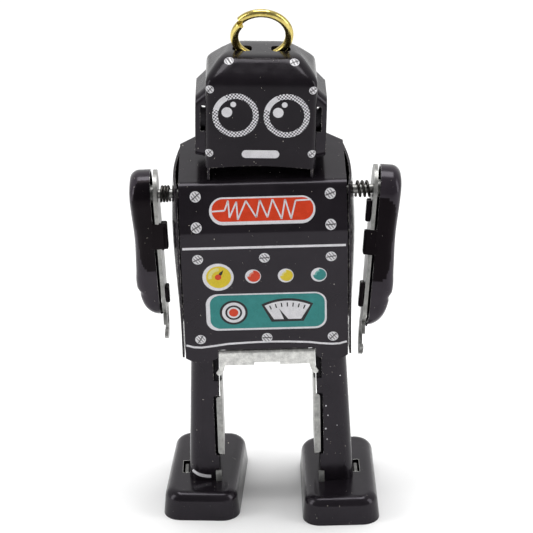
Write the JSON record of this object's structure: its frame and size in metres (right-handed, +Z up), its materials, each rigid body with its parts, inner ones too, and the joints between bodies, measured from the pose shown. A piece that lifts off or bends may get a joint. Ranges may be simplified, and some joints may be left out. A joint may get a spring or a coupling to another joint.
{
  "type": "walking toy robot",
  "caption": "Miniature pressed-tin humanoid robot with a clockwork leg drive, sprung shoulder joints, clawed arms and a hanging ring in its head.",
  "frame": {"origin": "on the floor, under the middle of the object's box, between the two feet", "axes": "+Z up, the face looks along -Y, +X is the robot's own left"},
  "size_m": [0.0442, 0.0258, 0.0863],
  "materials": {
    "black_tin": "gloss printed tinplate",
    "bright_tin": "bare tinplate, lightly scratched",
    "brass_wire": "polished",
    "gear_brass": "stamped, satin",
    "spring_steel": "dark oiled wire and strip"
  },
  "bodies": {
    "root": {"torso_front_panel": "black_tin", "torso_back_panel": "black_tin", "torso_floor_plate": "black_tin", "hip_crossbar": "bright_tin", "head_shell": "black_tin", "motor_pillars": "bright_tin", "mainspring": "spring_steel", "hip_axle": "bright_tin", "torso_left_panel": "black_tin", "head_left_panel": "black_tin", "motor_left_plate": "bright_tin", "shoulder_left_spring": "spring_steel", "torso_right_panel": "black_tin", "head_right_panel": "black_tin", "motor_right_plate": "bright_tin", "shoulder_right_spring": "spring_steel"},
    "ring": {"hanging_ring": "brass_wire"},
    "crank": {"crankshaft": "bright_tin", "crank_pinion": "gear_brass", "crank_wheel": "gear_brass", "crank_left_disc": "gear_brass", "crank_right_disc": "gear_brass"},
    "great": {"great_wheel": "gear_brass", "clutch_spring": "spring_steel"},
    "governor": {"governor_arbor": "bright_tin", "governor_pinion": "gear_brass", "governor_vane": "gear_brass"},
    "winding": {"winding_arbor": "bright_tin"},
    "leg_left": {"leg_left_plate": "bright_tin", "leg_left_shell": "black_tin", "foot_left_shell": "black_tin", "foot_left_sole": "bright_tin", "foot_left_tab": "bright_tin"},
    "arm_left": {"arm_left_shell": "black_tin", "arm_left_plate": "bright_tin", "shoulder_left_rivet": "bright_tin"},
    "leg_right": {"leg_right_plate": "bright_tin", "leg_right_shell": "black_tin", "foot_right_shell": "black_tin", "foot_right_sole": "bright_tin", "foot_right_tab": "bright_tin"},
    "arm_right": {"arm_right_shell": "black_tin", "arm_right_plate": "bright_tin", "shoulder_right_rivet": "bright_tin"}
  },
  "joints": [
    {"name": "leg_left_swing", "type": "hinge", "parent": "root", "child": "leg_left", "pos_m": [0, 0.00056, 0.03], "axis": [1, 0, 0], "range_deg": [-8.8, 11.2]},
    {"name": "leg_right_swing", "type": "hinge", "parent": "root", "child": "leg_right", "pos_m": [0, 0.00056, 0.03], "axis": [1, 0, 0], "range_deg": [-11.2, 8.8]},
    {"name": "crank_turn", "type": "hinge", "parent": "root", "child": "crank", "pos_m": [0, 0.00056, 0.0405], "axis": [1, 0, 0], "range_deg": [-79.2, 100.8]},
    {"name": "great_wheel_turn", "type": "hinge", "parent": "root", "child": "great", "pos_m": [0, 0.00056, 0.0501], "axis": [1, 0, 0], "range_deg": [-33.61, 26.41]},
    {"name": "governor_turn", "type": "hinge", "parent": "root", "child": "governor", "pos_m": [0, 0.00549, 0.0342], "axis": [1, 0, 0], "range_deg": [-302.41, 237.61]},
    {"name": "winding_turn", "type": "hinge", "parent": "root", "child": "winding", "pos_m": [0, 0.00056, 0.0501], "axis": [1, 0, 0], "continuous": true},
    {"name": "ring_swing", "type": "hinge", "parent": "root", "child": "ring", "pos_m": [-0.00009, 0.00186, 0.07882], "axis": [0.9992, 0, -0.0401], "range_deg": [-45, 6]},
    {"name": "arm_left_swing", "type": "hinge", "parent": "root", "child": "arm_left", "pos_m": [0, 0.00156, 0.0548], "axis": [1, 0, 0], "continuous": true},
    {"name": "arm_right_swing", "type": "hinge", "parent": "root", "child": "arm_right", "pos_m": [0, 0.00156, 0.0548], "axis": [1, 0, 0], "continuous": true}
  ],
  "couplings": [
    {"joint": "leg_right_swing", "follows": "leg_left_swing", "ratio": -1},
    {"joint": "crank_turn", "follows": "leg_left_swing", "ratio": 9},
    {"joint": "great_wheel_turn", "follows": "leg_left_swing", "ratio": -3},
    {"joint": "governor_turn", "follows": "leg_left_swing", "ratio": -27}
  ]
}
